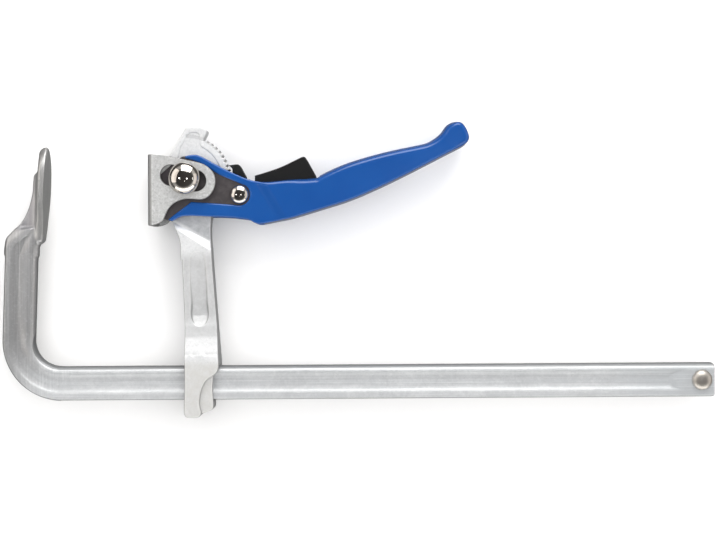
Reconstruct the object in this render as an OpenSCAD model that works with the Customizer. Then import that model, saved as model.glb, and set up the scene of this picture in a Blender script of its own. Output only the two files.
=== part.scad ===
// Quick release bar clamp with a ratchet lever, all steel.
// The clamp lies on its side: the bar runs along X, the jaws stand towards +Y,
// and every pin and rivet runs along Z. Z = 0 is the middle plane of the bar.
// The origin is the middle of the fixed jaw's clamping face. Millimetres.

/* [Bar and fixed arm] */
// Distance from the fixed jaw's middle to the top edge of the bar (throat depth)
throat = 123.2; // [115:1:135]
// Distance from the fixed jaw to the free end of the bar
bar_len = 465; // [400:5:700]
// Height of the grooved bar
bar_h = 24; // [22:0.5:26]
// Thickness of the bar
bar_t = 12; // [11:0.5:13]
// Depth of the groove in each side of the bar
groove = 1.8; // [1:0.1:2.8]
// Radius inside the forged bend
bend_r = 18; // [16:1:24]
// Lean of the fixed jaw towards the sliding arm, degrees
lean = 3; // [1:0.5:4]
// Lean of the fixed arm below the jaw, degrees
arm_lean = 2; // [1:0.5:3]
// Width of the fixed jaw's spade
jaw_w = 26; // [24:1:34]
// Thickness of the fixed jaw's spade at its edge
jaw_t = 5; // [4:0.5:6]

/* [Sliding arm] */
// Opening between the two jaws as stored
opening = 72.4; // [60:1:300]
// Thickness of the toothed head
head_t = 13.6; // [12:0.2:13.6]
// Thickness of the shank
shank_t = 15.2; // [14:0.2:15.2]
// Width over the two cheeks that wrap the bar
foot_w = 26; // [24:0.5:28]
// Play of the slot on the bar, each side
slot_play = 0.4; // [0.2:0.1:0.6]
// Number of ratchet teeth
tooth_n = 15; // [13:1:16]
// Radius over the tooth tips
tooth_r = 30.8; // [30.5:0.1:30.9]
// Depth of a tooth
tooth_d = 1.9; // [1.5:0.1:1.9]

/* [Pivot and pressure plate] */
// Diameter of the hardened pivot sleeve
pivot_d = 14; // [12:0.5:14]
// Diameter of the domed pivot rivet's head
dome_d = 22.4; // [21:0.2:24]
// Height of the domed head
dome_h = 9; // [7:0.5:9]
// Thickness of the pressure plate's sheet
sheet = 3; // [2.5:0.1:3]
// Slope of the slot in the pressure plate, degrees
slot_slope = 13; // [10:1:15]
// Width of the slot in the pressure plate
slot_w = 14.4; // [14.4:0.1:15]

/* [Lever] */
// Distance between the two steel lever cheeks
cheek_gap = 16; // [16:0.1:16.4]
// Thickness of each steel lever cheek
cheek_t = 3; // [2.5:0.1:3]
// Width of the moulded handle over its grip
grip_w = 28; // [25:0.5:32]
// Cam rise, millimetres for each radian of lever swing
cam_rise = 10.33; // [9:0.05:10.35]
// Diameter of the pawl rivet's head
pawl_head_d = 13.2; // [11:0.2:14]

/* [Hidden] */
$fn = 72;
e = 0.02;

bar_y = -throat - bar_h/2;             // height of the bar's middle line
bend_c = [bend_r - 8.2, -throat + bend_r]; // centre of the bend
pv = [opening + 25.7, 6.5];            // pivot of the lever
qr = [37.4, -11.1];                    // pawl rivet, seen from the pivot
bar_end = bar_len;
rivet_x = bar_len - 8.9;               // end stop rivet
pitch = 41/6;                          // angle of one tooth
lift = 4.75;                           // swing of the pawl from crest to root
flange_in = cheek_gap/2 + cheek_t + 2; // inner face of the plate's flanges
flange_out = flange_in + sheet;

function pol(r, a) = [r*cos(a), r*sin(a)];
function turn(p, c, a) = let (d = p - c)
    c + [d[0]*cos(a) - d[1]*sin(a), d[0]*sin(a) + d[1]*cos(a)];
// corner cutting that turns a coarse closed outline into a smooth one
function cut(p) = [for (i = [0:len(p)-1]) let (a = p[i], b = p[(i+1) % len(p)])
    each [a*0.75 + b*0.25, a*0.25 + b*0.75]];
function arc(c, r, a0, a1, n) = [for (i = [0:n]) c + pol(r, a0 + (a1-a0)*i/n)];

// ---------- bar, bend, fixed arm and fixed jaw: one forging ----------
// grooved section; first axis across the height, second across the thickness
// d makes the section that much fuller
module section(d = 0) {
    h = bar_h/2 + d; t = bar_t/2 + d; w = t - groove; f = h - 4.4 - 2*d; g = f - 1.8;
    polygon([[-h, t-1], [-h+1, t], [-f, t], [-g, w], [g, w], [f, t], [h-1, t], [h, t-1],
             [h, 1-t], [h-1, -t], [f, -t], [g, -w], [-g, -w], [-f, -t], [-h+1, -t], [-h, 1-t]]);
}
// outline of the bar's free end, with rounded corners
module end_outline() {
    polygon(concat([[0, -bar_h/2], [0, bar_h/2]],
        [for (i = [0:6]) [bar_end - 2.5, bar_h/2 - 2.5] + pol(2.5, 90 - 15*i)],
        [for (i = [0:6]) [bar_end - 2.5, -bar_h/2 + 2.5] + pol(2.5, -15*i)]));
}
module jaw_outline() { // y along the jaw, z across
    w = jaw_w/2;
    polygon(concat(
        [[-40, -5.8], [-32, -6.4], [-24, -8.2], [-16, -w+2.6], [-9, -w+0.5], [0, -w], [14, -w+0.2]],
        [for (i = [-8:8]) [14 + 15.8*cos(i*10), (w-0.2)*sin(i*10)]],
        [[14, w-0.2], [0, w], [-9, w-0.5], [-16, w-2.6], [-24, 8.2], [-32, 6.4], [-40, 5.8]]));
}
module clamp_bar() color("silver") difference() {
    union() {
        intersection() {
            translate([bend_c[0] - 1, bar_y, 0]) rotate([90, 0, 90])
                linear_extrude(bar_end - bend_c[0] + 1) section();
            translate([0, bar_y, -10]) linear_extrude(20) end_outline();
        }
        translate([bend_c[0], bend_c[1], 0]) {
            rotate_extrude(angle = 90 + arm_lean, start = 180 - arm_lean)
                translate([bend_r + bar_h/2, 0]) section(0.03);
            rotate(-arm_lean) translate([-bend_r - bar_h/2, -1, 0]) rotate([-90, 0, 0])
                linear_extrude(68) section();
        }
        // the spade: a flat tongue whose face passes through the origin
        rotate(-lean) {
            translate([-jaw_t, 0, 0]) rotate([90, 0, 90]) linear_extrude(jaw_t) jaw_outline();
            // tapering rib on its back, 0.05 fuller than the arm on each side
            translate([0, 0, -bar_t/2 - 0.05]) linear_extrude(bar_t + 0.1)
                polygon([[-11, -55], [-11, -44], [-3, -36], [-2.5, 6], [-6.8, 10.6], [-9, 9], [-9.3, -2], [-10.3, -7.5],
                         [-12.3, -15], [-15, -21], [-18.6, -26.6], [-26, -34.8], [-27, -38.5],
                         [-25, -42.5], [-25, -53]]);
            translate([0, 0, -bar_t/2 - 2.5]) linear_extrude(bar_t + 5)
                polygon([[-3, -30], [-3, 0], [-6.4, -4], [-8.2, -16], [-10, -24], [-9, -30]]);
        }
    }
    translate([rivet_x, bar_y, -10]) cylinder(r = 4.05, h = 20);
}
module end_stop_rivet() color("gainsboro") translate([rivet_x, bar_y, 0]) {
    w = bar_t/2 - groove;
    rotate_extrude($fn = 64) polygon(concat(
        [[0, -bar_t/2 - 3.2], [4.2, -bar_t/2 - 3.2], [5.9, -bar_t/2 - 2.3], [6.6, -bar_t/2 - 0.9],
         [6.6, -bar_t/2 - e], [5.4, -bar_t/2 - e], [5.4, -w - e], [4, -w - e],
         [4, w + e], [5.4, w + e], [5.4, bar_t/2 + e]],
        [for (i = [0:8]) [7*cos(i*11.25), bar_t/2 + e + 4.6*sin(i*11.25)]]));
}

// ---------- sliding arm ----------
function teeth() = [for (i = [0:tooth_n-1]) let (a = 60.4 - pitch*(tooth_n-1-i))
    each [pol(tooth_r - tooth_d, a - 1.6), pol(tooth_r, a), pol(tooth_r, a + 0.5)]];
module head_outline() { // seen from the pivot
    polygon(concat([pol(12, -60)], arc([0, 0], tooth_r - tooth_d, -57, -40, 8), teeth(),
                   [pol(tooth_r - tooth_d, 64.5), pol(12, 70)]));
    polygon([[-11.6, 16.3], [-4.2, 28.8], [-0.9, 34.8], [-0.3, 35.8], [0.7, 36.3], [10.8, 36.4],
             [12.6, 35.9], [14.2, 34.6], [14.9, 33.2], [12.3, 28.2], [12.2, 25.5], [13, 10],
             [14, -10], [20, -17.7], [17.6, -25.2], [16.8, -34.8], [17.7, -55.3], [-3.9, -47.6],
             [-4.3, -45.1], [-6.7, -36.9], [-9.7, -29.8], [-10.2, -16.5], [-10.8, 3.5]]);
}
module shank_outline() {
    b = bar_y - pv[1];
    polygon([[-3.9, -47.6], [17.4, -47.6], [17.7, -55.3], [19.1, -75.9], [21, -101.5],
             [22.4, b + 17], [22.4, b + bar_h/2 + 1], [-1.35, b + bar_h/2 + 1],
             [-1.4, b + 22], [-1.5, -101], [-2.8, -65.4], [-3.6, -50.1]]);
}
// how the arm's thickness changes along Y, flaring out above the bar
module thickness(w) {
    b = bar_y - pv[1]; h = head_t/2; s = shank_t/2; f = foot_w/2;
    translate([-30, 0, 0]) rotate([90, 0, 90]) linear_extrude(80)
        polygon([[40, -h], [-33, -h], [-40, -s], [b + 37, -s], [b + 19, -f], [b, -f],
                 [b, f], [b + 19, f], [b + 37, s], [-40, s], [-33, h], [40, h]]);
}
// the eye round the bar: thick cheeks with a curved edge, and a thinner wall beyond it
module foot() {
    f = foot_w/2; w = bar_t/2 + slot_play + 3.3;
    translate([0, bar_y - pv[1], 0]) {
        translate([0, 0, -f]) linear_extrude(2*f)
            polygon([[-1.35, 14], [-1.3, 5], [-1.3, -5], [-1.9, -20.4], [-1, -22.4], [0.8, -23.6],
                     [6.7, -23.7], [9.2, -22.9], [10.3, -20.3], [9, -14.8], [9.2, -10.5],
                     [9.9, -6.5], [11.2, -2.5], [13, 1], [16, 3.9], [19, 5.6], [21.2, 8],
                     [22.2, 10.8], [22.4, 14]]);
        translate([0, 0, -w]) linear_extrude(2*w)
            polygon([[0, 13.5], [0, -20], [0.6, -22], [2, -22.9], [6, -23], [8.6, -22.2],
                     [11.7, -20.6], [16.4, -19], [18.3, -17], [18.2, -11.7], [17.7, -4.7],
                     [18, 2], [18.8, 8], [18.8, 13.5]]);
    }
}
module shank_pocket() {
    translate([7.6, -55.1, 0]) cylinder(r = 5.3, h = 4);
    translate([9.1, -96.5, 0]) cylinder(r = 6.1, h = 4);
    linear_extrude(4) polygon([[2.3, -55.3], [3, -96.3], [15.2, -96.7], [12.9, -54.9]]);
}
module head_pocket() linear_extrude(3) difference() {
    polygon(concat([[-4.3, 21.5], [-2.1, 25.3], [1.4, 31.6], [4.2, 32.5], [8.3, 32.3],
                    [10, 29.6], [10, 23.1]], arc([0, 0], 25, 60, -38, 14),
                   [[8, -24], [-6, -22], [-7, 8]]));
    circle(r = 12);
}
module sliding_arm() color("silver") translate([pv[0], pv[1], 0]) difference() {
    union() {
        translate([0, 0, -head_t/2]) linear_extrude(head_t) head_outline();
        intersection() {
            translate([0, 0, -foot_w/2]) linear_extrude(foot_w) shank_outline();
            thickness();
        }
        foot();
    }
    translate([0, 0, -20]) cylinder(r = pivot_d/2 + e, h = 40);
    // the slot that slides on the bar
    translate([-10, -throat - bar_h - slot_play - pv[1], -bar_t/2 - slot_play])
        cube([50, bar_h + 2*slot_play, bar_t + 2*slot_play]);
    translate([0, 0, shank_t/2 - 2]) shank_pocket();
    mirror([0, 0, 1]) translate([0, 0, shank_t/2 - 2]) shank_pocket();
    translate([0, 0, head_t/2 - 0.8]) head_pocket();
    mirror([0, 0, 1]) translate([0, 0, head_t/2 - 0.8]) head_pocket();
}

// ---------- pivot ----------
module pivot_rivet() color("gainsboro") translate([pv[0], pv[1], 0]) {
    z = flange_out + 0.1; r = dome_d/2;
    rotate_extrude($fn = 96) polygon(concat(
        [[0, -z - 5.6], [5.5, -z - 5.4], [8.6, -z - 4.2], [10.2, -z - 2.4], [10.6, -z - 0.8],
         [10.6, -z], [5, -z], [5, z], [r - 0.5, z], [r, z + 0.6]],
        [for (i = [1:12]) [r*cos(i*7.5), z + 0.6 + (dome_h - 0.6)*sin(i*7.5)]]));
}
module pivot_sleeve() color("dimgray") translate([pv[0], pv[1], -flange_out - 0.08])
    difference() {
        cylinder(r = pivot_d/2, h = 2*flange_out + 0.16);
        translate([0, 0, -1]) cylinder(r = 5.03, h = 2*flange_out + 3);
    }
module pivot_washers() color("gainsboro") for (s = [-1, 1])
    translate([pv[0], pv[1], s*(flange_in - 1)]) difference() {
        cylinder(r = 10, h = 1.9, center = true);
        cylinder(r = pivot_d/2 + 0.05, h = 4, center = true);
    }

// ---------- pressure plate: one sheet bent to a U, seen from the pivot ----------
module plate_outline() {
    polygon(cut([[-27, 16], [-26.5, 16.8], [-22.6, 16.8], [-9.4, 15.1], [1.1, 12.6], [6.4, 11.6],
             [12.2, 10.2], [16.6, 7.6], [20, 4], [21.4, -0.6], [21.2, -5], [19, -10],
             [15.7, -13.4], [11.4, -14.8], [6.2, -14.3], [0.9, -14], [-3.3, -15], [-7.5, -17],
             [-10.9, -20.4], [-13, -24.4], [-14.6, -28.6], [-16.6, -30.6], [-21.9, -32.3],
             [-26.5, -32.3], [-27, -31]]));
}
module u_section() { // seen along Y: x, z
    o = flange_out; i = flange_in;
    polygon(concat([[40, -o]], arc([-21.7, -o + 4], 4, 270, 180, 6),
                   arc([-21.7, o - 4], 4, 180, 90, 6), [[40, o], [40, i]],
                   arc([-21.7, i - 1], 1, 90, 180, 3), arc([-21.7, 1 - i], 1, 180, 270, 3),
                   [[40, -i]]));
}
module plate_slot() {
    r = slot_w/2 + 0.02;
    rotate(-slot_slope) translate([0, 0, -30]) linear_extrude(60)
        polygon(concat(arc([-9.65, 0], r, 90, 270, 24), arc([7.9, 0], r, -90, 90, 24)));
}
module pressure_plate() color("lightgray") translate([pv[0], pv[1], 0]) difference() {
    intersection() {
        translate([0, 20, 0]) rotate([90, 0, 0]) linear_extrude(60) u_section();
        translate([0, 0, -20]) linear_extrude(40) plate_outline();
    }
    plate_slot();
}

// ---------- lever ----------
// the cam is an involute: its flat follower is the back of the pressure plate
function cam_h(a) = 22.45 + cam_rise*(a - 180)*PI/180;
function cam_pt(a) = [cam_h(a)*cos(a) - cam_rise*sin(a), cam_h(a)*sin(a) + cam_rise*cos(a)];
module cheek_outline() {
    polygon(concat([for (a = [138:4:218]) cam_pt(a)],
        [[-15.3, -27.3], [-13.5, -28.3], [-11.6, -28.7], [-10.2, -28], [-8.2, -26.4], [-3, -24], [2.3, -23.2], [14.6, -23.5],
         [28.7, -24], [38.4, -25], [44, -26.2], [50, -28], [56, -28.4], [72, -25.2], [88, -20.6],
         [100, -16.4], [103.4, -13.4], [103.8, -10], [102, -7.6], [98, -7], [72, -7.6], [58, -7],
         [50, -4.6], [43, -3.2], [32.5, 1.3], [23.7, 5.7], [14.9, 10.6], [8, 13.6], [3.2, 14.8],
         [-0.6, 15.6], [-2.2, 15.3], [-6, 12.8], [-10.5, 9]]));
}
spacer_at = [[66, -22], [97.6, -11.6]];
module cheek(s) color("dimgray") translate([pv[0], pv[1], 0]) difference() {
    translate([0, 0, s > 0 ? cheek_gap/2 : -cheek_gap/2 - cheek_t])
        linear_extrude(cheek_t) cheek_outline();
    translate([0, 0, -20]) cylinder(r = pivot_d/2 + 0.05, h = 40);
    translate([qr[0], qr[1], -20]) cylinder(r = 3.03, h = 40);
    for (p = spacer_at) translate([p[0], p[1], -20]) cylinder(r = 3.03, h = 40);
}
module lever_cheek_front() cheek(1);
module lever_cheek_rear() cheek(-1);
module cheek_spacers() color("gray") translate([pv[0], pv[1], 0])
    for (p = spacer_at) translate([p[0], p[1], 0])
        cylinder(r = 3, h = cheek_gap + 2*cheek_t, center = true);

module fork_outline() {
    polygon(concat([[0, 15.6], [3, 16.3], [7.5, 16.6], [11, 15.5], [14.9, 13.4], [23.7, 8.5],
            [32.5, 4.1], [43, -0.4], [46.5, -1.4], [55.4, -2.2], [64, -1.6], [72.5, -0.7],
            [90.5, 0.8], [97.7, 4.6], [110.3, 10], [122.9, 14], [135.5, 17.4], [148, 20.2],
            [160.6, 22.7], [167.4, 24.3], [173.3, 27.6], [177.5, 31.3], [180.9, 35.9],
            [184.3, 38.2], [187.6, 38.8], [191, 38], [193.9, 35], [195.9, 30.8], [196.7, 27.8],
            [195.9, 24.9], [193.8, 22.9], [181.6, 16.6], [164.8, 8], [147.9, -0.4],
            [131.1, -8.2], [114.3, -15.2], [97.6, -20.5], [80.7, -25.5], [72.3, -27.8],
            [63.1, -29.6], [54.3, -31.3], [50.7, -31.6], [48.1, -30.9], [43.7, -28.6],
            [38.4, -27.7], [28.7, -26.7], [14.6, -26.2], [2.3, -25.7], [-3.1, -26.2],
            [-6.6, -27.9], [-9.3, -29.2], [-11.9, -28.4]],
            // window in the moulding, open towards the pressure plate
            [[-10.6, -27], [-4, -22], [4, -16], [18, -17], [32.3, -18.1], [38, -18.6], [41.4, -17.4],
            [43.8, -14.8], [44.6, -11.1], [43.8, -7.5], [41.6, -5.2], [39.2, -4.2], [34.2, -2], [23.6, 2.6], [18.3, 6], [7.8, 11.7],
            [0.2, 14]]));
}
module lever_handle() color("royalblue") translate([pv[0], pv[1], 0]) {
    o = cheek_gap/2 + cheek_t + 1.2; g = grip_w/2; s = cheek_gap/2;
    difference() {
        union() {
            translate([0, 0, -o]) linear_extrude(2*o) fork_outline();
            intersection() {
                translate([0, 0, -g]) linear_extrude(2*g) fork_outline();
                translate([0, 0, -g - 1]) linear_extrude(2*g + 2)
                    polygon([[46, 4], [70, -36], [240, -36], [240, 60], [46, 60]]);
            }
        }
        // space between the cheeks for the arm's head, the pawl and the trigger
        translate([0, 0, -s]) linear_extrude(2*s)
            polygon([[-40, -60], [53.9, -60], [53.9, -31], [52.6, -19], [49, -16], [92.9, -11],
                     [92.9, 60], [-40, 60]]);
        // seats of the steel cheeks and their spacer rivets
        for (z = [s, -s - cheek_t]) translate([0, 0, z]) linear_extrude(cheek_t) cheek_outline();
        for (p = spacer_at) translate([p[0], p[1], 0])
            cylinder(r = 3.03, h = cheek_gap + 2*cheek_t, center = true);
    }
}

// ---------- pawl ----------
module pawl_rivet() color("gainsboro") translate([pv[0] + qr[0], pv[1] + qr[1], 0]) {
    z = cheek_gap/2 + cheek_t + e; r = pawl_head_d/2;
    rotate_extrude($fn = 64) polygon(concat(
        [[0, -z - 3.4], [3.2, -z - 3.2], [5.2, -z - 2.2], [6, -z - 0.8], [6, -z], [3, -z], [3, z],
         [r - 0.3, z], [r, z + 0.4]],
        [for (i = [1:10]) [r*cos(i*9), z + 0.4 + 4.4*sin(i*9)]]));
}
module pawl_bush() color("gray") translate([pv[0] + qr[0], pv[1] + qr[1], 0]) difference() {
    cylinder(r = 4.5, h = cheek_gap - 0.1, center = true);
    cylinder(r = 3.03, h = cheek_gap + 2, center = true);
}
// torsion spring: a leg on the handle, three and a quarter turns, a leg over the pawl
wire = 0.6;
spring_path = concat(
    [[qr[0] + 14, qr[1] - 7.1, 2.9], [qr[0] + 7, qr[1] - 6.3, 2.9], [qr[0] + 2.5, qr[1] - 5.75, 2.9]],
    [for (t = [0:22.5:1170]) let (a = -90 - t)
        [qr[0] + 5.5*cos(a), qr[1] + 5.5*sin(a), 2.9 + 4.4*t/1170]],
    [[qr[0] - 5.5, qr[1] + 3, 7.3], [qr[0] - 5.3, qr[1] + 9, 7.3], [qr[0] - 4.6, qr[1] + 14, 7.3]]);
function unit(v) = v/norm(v);
function ring(p, d) = let (u = unit(cross(d, [0, 0, 1])), v = cross(u, d))
    [for (k = [0:7]) p + wire*cos(45*k)*u + wire*sin(45*k)*v];
module sweep(path) {
    n = len(path);
    rings = [for (i = [0:n-1]) ring(path[i],
        unit(path[min(i+1, n-1)] - path[max(i-1, 0)]))];
    polyhedron(points = [for (r = rings) each r],
        faces = concat([[for (k = [0:7]) k]],
            [for (i = [0:n-2], k = [0:7]) [8*i + k, 8*(i+1) + k, 8*(i+1) + (k+1)%8, 8*i + (k+1)%8]],
            [[for (k = [7:-1:0]) 8*(n-1) + k]]));
}
module pawl_spring() color("gray") translate([pv[0], pv[1], 0]) sweep(spring_path);

// nose of the pawl, drawn dropped into a tooth gap and turned back up on to the crests
function up(p) = turn(p, qr, -lift);
module pawl_outline() {
    polygon(concat([up(pol(29.25, 17.4)), [33.6, 10], [34.6, 10.1], [36.2, 10.1], [37.2, 9.5],
             [38, 8.2], [41.5, 1.6], [41, -4], [40.6, -9], [30, -11.1]],
            [for (a = [-12:3:12]) up(pol(31.35, a))], [up(pol(31.15, 13))]));
}
module tail_outline() {
    polygon([[38, -5.5], [44, -4.6], [52, -3], [60, -1.4], [72, 2.2], [80, 5.6], [82, 5],
             [81.6, 2.6], [72, -2.6], [60, -5.8], [52, -7.6], [45, -10], [40, -13]]);
}
module ratchet_pawl() color("black") translate([pv[0], pv[1], 0]) difference() {
    union() {
        difference() {
            translate([0, 0, -6.6]) linear_extrude(13.2) pawl_outline();
            translate([qr[0], qr[1], 1.8]) cylinder(r = 7.3, h = 10);
        }
        translate([qr[0], qr[1], -7.7]) cylinder(r = 7, h = 9.5);
        translate([0, 0, -2.5]) linear_extrude(4.3) tail_outline();
    }
    translate([qr[0], qr[1], -20]) cylinder(r = 4.55, h = 40);
    translate([60, -3.6, 0]) cylinder(r = 1.5, h = 20, center = true);
}
module release_trigger() color([0.08, 0.08, 0.08]) translate([pv[0], pv[1], 0]) difference() {
    translate([0, 0, -7]) linear_extrude(14)
        polygon([[47.8, 2.4], [53.7, 3.9], [65.7, 7.9], [75.9, 12.7], [81, 15], [82.3, 15.2],
                 [83.2, 14.4], [90.3, 2], [90.8, 0.4], [90.6, -1.8], [78, -5.6], [62, -8.6],
                 [50.5, -11], [47.8, -10]]);
    translate([0, 0, -2.5]) linear_extrude(4.3) tail_outline();
    translate([60, -3.6, 0]) cylinder(r = 1.5, h = 20, center = true);
}
module trigger_pin() color("gray") translate([pv[0] + 60, pv[1] - 3.6, 0])
    cylinder(r = 1.48, h = 13.9, center = true);

clamp_bar();
end_stop_rivet();
sliding_arm();
pivot_rivet();
pivot_sleeve();
pivot_washers();
pressure_plate();
lever_cheek_front();
lever_cheek_rear();
lever_handle();
cheek_spacers();
pawl_rivet();
pawl_bush();
pawl_spring();
ratchet_pawl();
release_trigger();
trigger_pin();
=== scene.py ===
import bpy
import math
import numpy as np
from concurrent.futures import ThreadPoolExecutor
from mathutils import Matrix, Vector


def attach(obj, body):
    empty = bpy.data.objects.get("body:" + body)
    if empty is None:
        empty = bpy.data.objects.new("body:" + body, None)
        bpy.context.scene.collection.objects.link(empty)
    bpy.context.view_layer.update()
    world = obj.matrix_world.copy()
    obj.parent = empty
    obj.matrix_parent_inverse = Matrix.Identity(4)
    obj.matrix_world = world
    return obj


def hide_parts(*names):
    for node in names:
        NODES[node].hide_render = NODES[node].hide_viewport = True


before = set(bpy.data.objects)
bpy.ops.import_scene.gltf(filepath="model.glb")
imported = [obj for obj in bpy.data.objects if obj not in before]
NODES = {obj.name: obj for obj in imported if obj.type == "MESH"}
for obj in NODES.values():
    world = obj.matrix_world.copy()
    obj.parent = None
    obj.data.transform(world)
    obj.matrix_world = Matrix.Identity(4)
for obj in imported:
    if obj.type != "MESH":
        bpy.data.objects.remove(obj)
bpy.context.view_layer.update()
COARSE = 1.0

# ---------------------------------------------------------------------------
# Rounded solids from distance fields, meshed by dual contouring. Millimetres.
# ---------------------------------------------------------------------------
POOL = ThreadPoolExecutor(4)
M = 0.001


def hyp(a, b):
    return np.sqrt(a * a + b * b)


def rmax(a, b, r):
    """Intersection whose convex edge has radius r."""
    return np.minimum(np.maximum(a, b), -r) + hyp(np.maximum(a + r, 0), np.maximum(b + r, 0))


def rmin(a, b, r):
    """Union whose inside corner has radius r."""
    return -rmax(-a, -b, r)


def smin(a, b, k):
    """Soft union that blends over a width of k."""
    h = np.maximum(k - np.abs(a - b), 0) / k
    return np.minimum(a, b) - h * h * k / 4


def smax(a, b, k):
    return -smin(-a, -b, k)


def ramp(t, a, b):
    """0 below a, 1 above b, smooth between them."""
    u = np.clip((t - a) / (b - a), 0, 1)
    return u * u * (3 - 2 * u)


def lerp(a, b, t):
    return a + (b - a) * t


def pol(r, deg):
    return (r * math.cos(math.radians(deg)), r * math.sin(math.radians(deg)))


def rot(p, deg, c=(0, 0)):
    a = math.radians(deg)
    dx, dy = p[0] - c[0], p[1] - c[1]
    return (c[0] + dx * math.cos(a) - dy * math.sin(a), c[1] + dx * math.sin(a) + dy * math.cos(a))


def chaikin(pts, times=1):
    for _ in range(times):
        out = []
        for i, a in enumerate(pts):
            b = pts[(i + 1) % len(pts)]
            out += [(a[0] * .75 + b[0] * .25, a[1] * .75 + b[1] * .25), (a[0] * .25 + b[0] * .75, a[1] * .25 + b[1] * .75)]
        pts = out
    return pts


def spline(pts, sharp=(), n=5, closed=True):
    """Catmull-Rom through the points; points whose index is in sharp stay corners."""
    out, N = [], len(pts)
    P = [np.array(p, float) for p in pts]
    for i in range(N if closed else N - 1):
        p1, p2 = P[i], P[(i + 1) % N]
        p0 = P[(i - 1) % N] if (closed or i > 0) and i not in sharp else p1 * 2 - p2
        p3 = P[(i + 2) % N] if (closed or i + 2 < N) and (i + 1) % N not in sharp else p2 * 2 - p1
        d = [max(np.linalg.norm(b - a), 1e-6) ** 0.5 for a, b in ((p0, p1), (p1, p2), (p2, p3))]
        m1 = (p1 - p0) / d[0] - (p2 - p0) / (d[0] + d[1]) + (p2 - p1) / d[1]
        m2 = (p2 - p1) / d[1] - (p3 - p1) / (d[1] + d[2]) + (p3 - p2) / d[2]
        m1, m2 = m1 * d[1], m2 * d[1]
        for k in range(n):
            t = k / n
            out.append(tuple((2 * t**3 - 3 * t**2 + 1) * p1 + (t**3 - 2 * t**2 + t) * m1 + (3 * t**2 - 2 * t**3) * p2 + (t**3 - t**2) * m2))
    if not closed:
        out.append(tuple(P[-1]))
    return out


class Outline:
    """Signed distance to a closed polygon, negative inside, read from a fine table of exact distances."""

    def __init__(self, pts, pad=3.0, h=0.2):
        self.p, self.h = np.array(pts, float), h
        self.lo = self.p.min(0) - pad
        self.n = np.ceil((self.p.max(0) + pad - self.lo) / h).astype(int) + 2
        gx, gy = (self.lo[k] + h * np.arange(self.n[k]) for k in range(2))
        T = np.empty(self.n)

        def job(c):
            T[c[0]:c[1]] = self.exact(gx[c[0]:c[1], None], gy[None, :])
        list(POOL.map(job, split(self.n[0], max(1, self.n[0] // 12))))
        self.T = T.ravel()

    def exact(self, x, y):
        x, y = np.broadcast_arrays(x, y)
        d2 = np.full(x.shape, 1e12)
        inside = np.zeros(x.shape, bool)
        q = np.roll(self.p, -1, axis=0)
        for (ax, ay), (bx, by) in zip(self.p, q):
            ex, ey = bx - ax, by - ay
            L = ex * ex + ey * ey
            if L < 1e-12:
                continue
            px, py = x - ax, y - ay
            t = np.clip((px * ex + py * ey) / L, 0, 1)
            dx, dy = px - t * ex, py - t * ey
            np.minimum(d2, dx * dx + dy * dy, out=d2)
            if ay != by:
                inside ^= ((ay <= y) != (by <= y)) & (x < ax + (y - ay) * ex / ey)
        return np.where(inside, -1, 1) * np.sqrt(d2)

    def __call__(self, x, y):
        x, y = np.broadcast_arrays(x, y)
        w, n1 = [], int(self.n[1])
        base, far = 0, 0
        for k, c in enumerate((x, y)):
            u = (c - self.lo[k]) / self.h
            uc = np.clip(u, 1.0, self.n[k] - 2.001)
            i = uc.astype(np.int64)
            f = uc - i
            w.append((((-0.5 * f + 1) * f - 0.5) * f, (1.5 * f - 2.5) * f * f + 1, ((-1.5 * f + 2) * f + 0.5) * f, (0.5 * f - 0.5) * f * f))
            base = base + i * (n1 if k == 0 else 1)
            far = far + (u - uc) ** 2
        out = np.sqrt(far) * self.h
        for a in range(4):
            row = 0
            for b in range(4):
                row = row + w[1][b] * self.T[base + ((a - 1) * n1 + b - 1)]
            out = out + w[0][a] * row
        return out


def split(n, k):
    e = np.linspace(0, n, max(1, int(k)) + 1).astype(int)
    return [(a, b) for a, b in zip(e[:-1], e[1:]) if b > a]


def sample(f, xs, ys, zs):
    F = np.empty((len(xs), len(ys), len(zs)), np.float32)

    def job(c):
        F[c[0]:c[1]] = f(xs[c[0]:c[1], None, None], ys[None, :, None], zs[None, None, :])
    list(POOL.map(job, split(len(xs), len(xs) * len(ys) * len(zs) / 20000)))
    return F


def at(f, P):
    out = np.empty(len(P))

    def job(c):
        out[c[0]:c[1]] = f(P[c[0]:c[1], 0], P[c[0]:c[1], 1], P[c[0]:c[1], 2])
    list(POOL.map(job, split(len(P), len(P) / 12000 + 1)))
    return out


def normals_of(f, P, e=0.02):
    g = np.empty((len(P), 3))

    def job(c):
        x, y, z = P[c[0]:c[1]].T
        g[c[0]:c[1], 0] = f(x + e, y, z) - f(x - e, y, z)
        g[c[0]:c[1], 1] = f(x, y + e, z) - f(x, y - e, z)
        g[c[0]:c[1], 2] = f(x, y, z + e) - f(x, y, z - e)
    list(POOL.map(job, split(len(P), len(P) / 12000 + 1)))
    n = np.linalg.norm(g, axis=1)
    return g / np.maximum(n, 1e-9)[:, None], n / (2 * e)


def steps(*parts):
    """A grid axis: parts are (start, end, step), each going on where the last one ended."""
    out = []
    for a, b, h in parts:
        n = max(1, int(math.ceil((b - a) / (h * COARSE) - 1e-6)))
        out += [a + (b - a) * i / n for i in range(n)]
    out.append(parts[-1][1])
    return np.array(out)


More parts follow.
